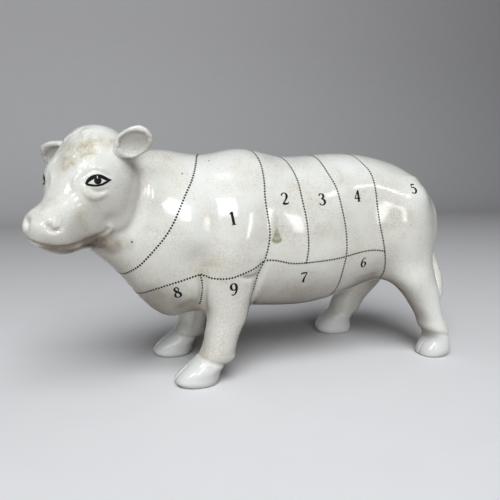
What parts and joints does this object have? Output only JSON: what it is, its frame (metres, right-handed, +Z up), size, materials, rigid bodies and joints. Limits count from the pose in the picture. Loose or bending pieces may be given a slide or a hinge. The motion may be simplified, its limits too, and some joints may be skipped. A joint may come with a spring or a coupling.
{
  "type": "cow figurine",
  "caption": "Standing glazed ceramic cow with its head turned aside, a free-standing shelf ornament that rests on its hoof soles.",
  "frame": {"origin": "middle of the footprint box on the floor plane, under the barrel", "axes": "+X runs from the head towards the tail, +Z up, -Y is the cow's own left side, which the head is turned to"},
  "size_m": [0.3247, 0.1197, 0.1798],
  "materials": {
    "glaze": "cream crackle glaze, glossy"
  },
  "bodies": {
    "root": {"trunk": "glaze", "head": "glaze", "ear_left": "glaze", "ear_right": "glaze", "fore_leg_left": "glaze", "fore_leg_right": "glaze", "hind_leg_left": "glaze", "hind_leg_right": "glaze", "tail": "glaze"}
  },
  "joints": []
}
